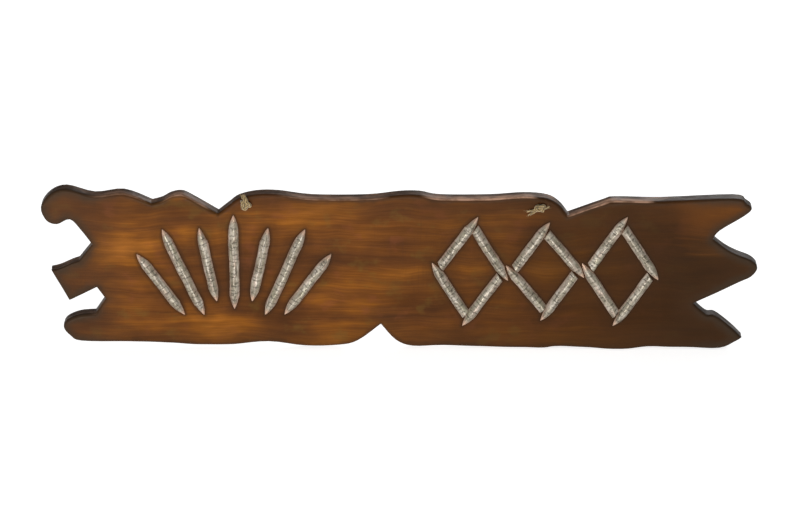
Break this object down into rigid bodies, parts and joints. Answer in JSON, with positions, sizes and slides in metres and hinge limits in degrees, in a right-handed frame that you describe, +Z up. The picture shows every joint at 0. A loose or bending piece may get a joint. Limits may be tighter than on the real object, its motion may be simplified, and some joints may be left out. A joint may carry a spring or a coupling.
{
  "type": "hanging wooden wall sign",
  "caption": "Long wavy-edged hanging plank sign with splintered ends, whittled half-round sticks laid as a sunburst and a row of diamonds, and a knotted cord loop behind.",
  "frame": {"origin": "on the plank's flat back face, at the middle of its outline's box, where it rests against a wall", "axes": "+X along the plank to the right as seen from the front, +Z up, +Y out of the back towards the wall; the front faces -Y"},
  "size_m": [1, 0.0465, 0.24],
  "materials": {
    "stained_wood": "dark amber stain under gloss varnish, darker towards the ends",
    "whittled_wood": "silver-grey crackled paint on whittled wood, paler tips",
    "cord_fibre": "twisted natural fibre with frayed ends"
  },
  "bodies": {
    "sign": {"board": "stained_wood", "ray_1": "whittled_wood", "ray_2": "whittled_wood", "ray_3": "whittled_wood", "ray_4": "whittled_wood", "ray_5": "whittled_wood", "ray_6": "whittled_wood", "ray_7": "whittled_wood", "diamond_1_upper_right": "whittled_wood", "diamond_1_lower_right": "whittled_wood", "diamond_1_lower_left": "whittled_wood", "diamond_1_upper_left": "whittled_wood", "diamond_2_upper_right": "whittled_wood", "diamond_2_lower_right": "whittled_wood", "diamond_2_lower_left": "whittled_wood", "diamond_2_upper_left": "whittled_wood", "diamond_3_upper_right": "whittled_wood", "diamond_3_lower_right": "whittled_wood", "diamond_3_lower_left": "whittled_wood", "diamond_3_upper_left": "whittled_wood", "rope_end_left": "cord_fibre", "rope_end_right": "cord_fibre", "knot_left": "cord_fibre", "knot_right": "cord_fibre"},
    "hanger_loop": {"rope_loop": "cord_fibre"}
  },
  "joints": [
    {"name": "hanger_swing", "type": "hinge", "parent": "sign", "child": "hanger_loop", "pos_m": [-0.01, 0.01, 0.095], "axis": [1, 0, 0], "range_deg": [0, 180]}
  ]
}
